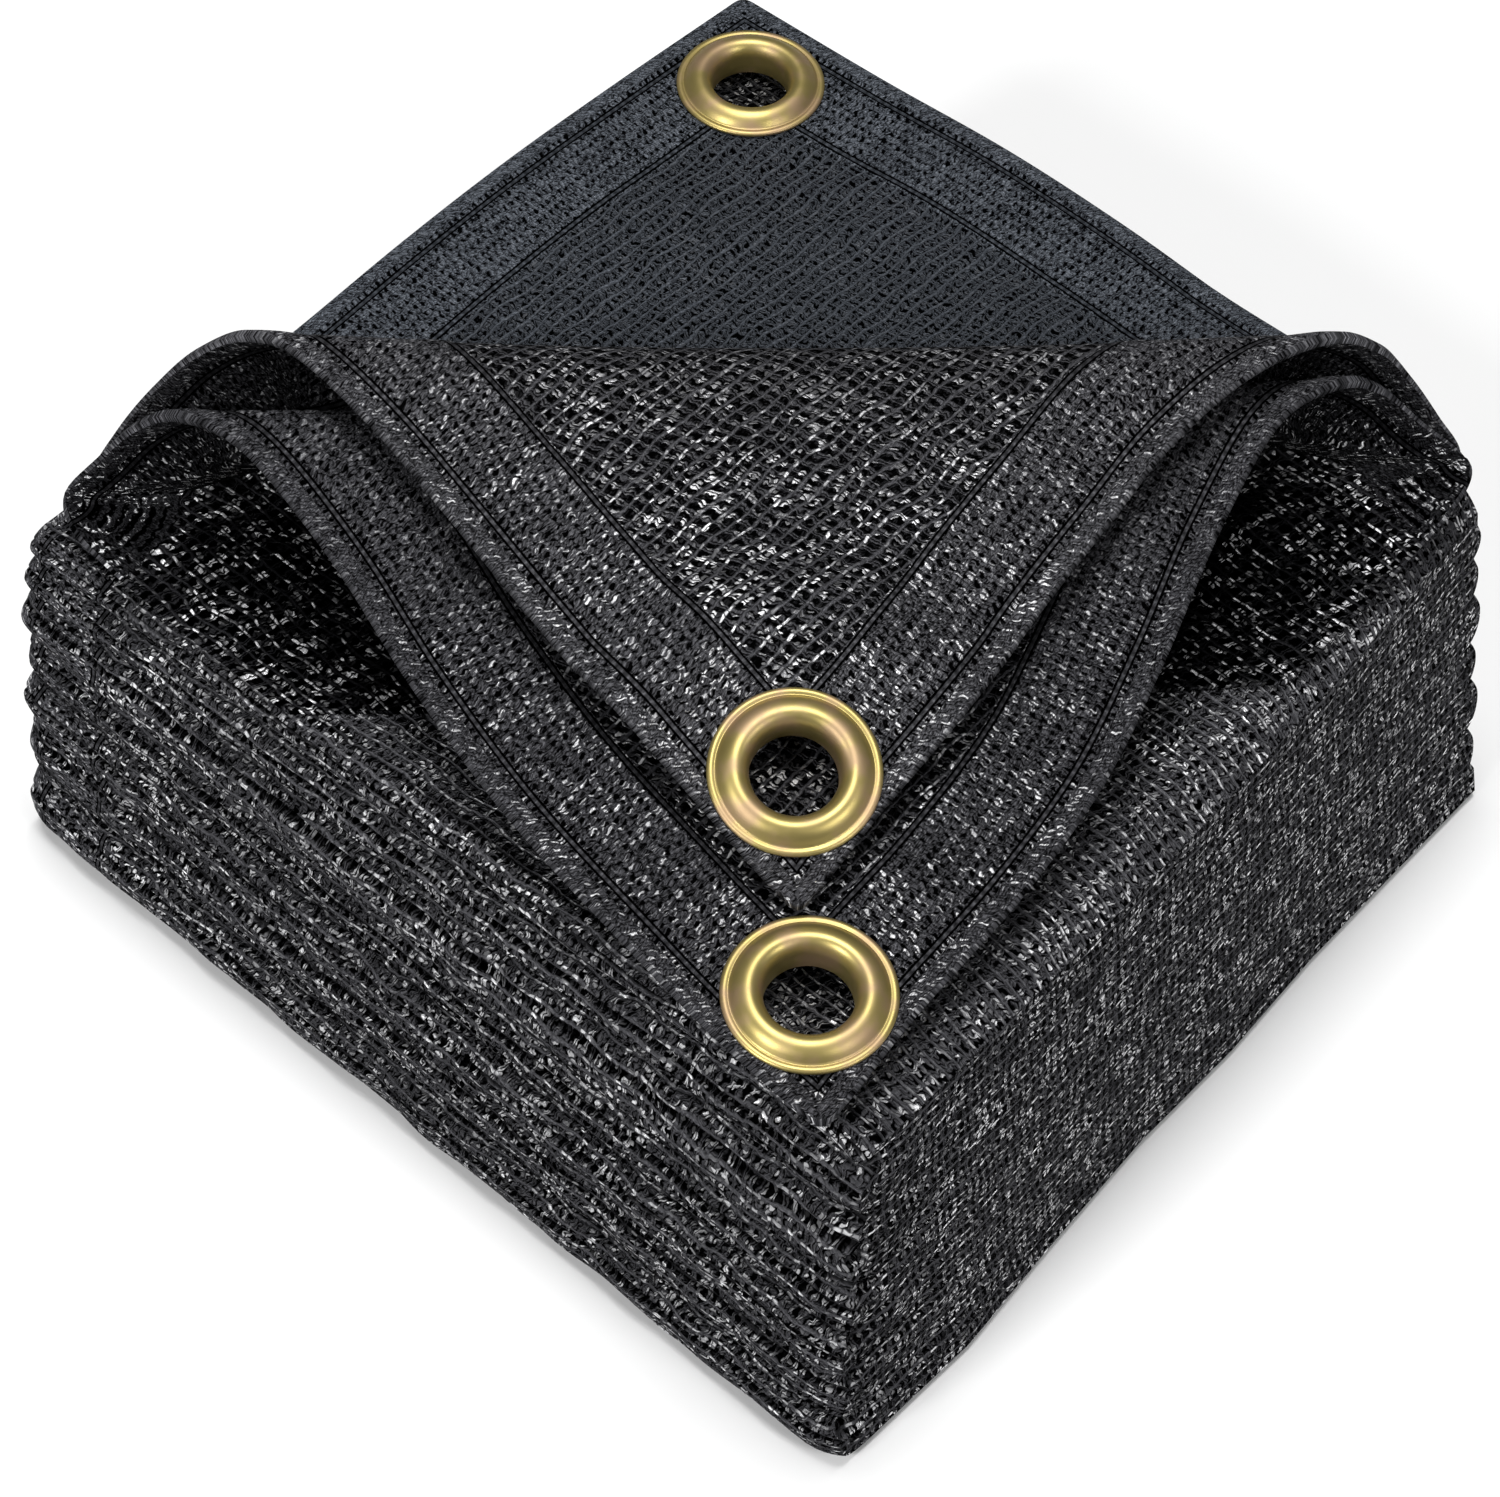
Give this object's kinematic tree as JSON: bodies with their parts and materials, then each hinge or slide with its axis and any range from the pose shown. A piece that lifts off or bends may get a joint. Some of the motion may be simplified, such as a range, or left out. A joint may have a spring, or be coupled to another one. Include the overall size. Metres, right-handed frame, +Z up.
{
  "type": "shade cloth",
  "caption": "Knitted mesh shade cloth folded into a thick square pad, with hemmed edges and turned corners that carry brass grommets.",
  "frame": {"origin": "middle of the whole part's box in plan, at the underside of the pad", "axes": "+Z up from the resting face; -Y towards the pad's front corner, where the two turned corners point; +X to the right along the fold of the turned corners"},
  "size_m": [0.2718, 0.2724, 0.1146],
  "materials": {
    "shade_knit": "charcoal knitted polyethylene tape and yarn, matt with small glints",
    "eyelet_brass": "pressed brass, lightly tarnished, semi-gloss"
  },
  "bodies": {
    "root": {"cloth_stack": "shade_knit", "corner_back": "shade_knit", "corner_lower": "shade_knit", "corner_upper": "shade_knit", "grommet_back": "eyelet_brass", "grommet_lower": "eyelet_brass", "grommet_upper": "eyelet_brass", "washer_back": "eyelet_brass", "washer_lower": "eyelet_brass", "washer_upper": "eyelet_brass"}
  },
  "joints": []
}
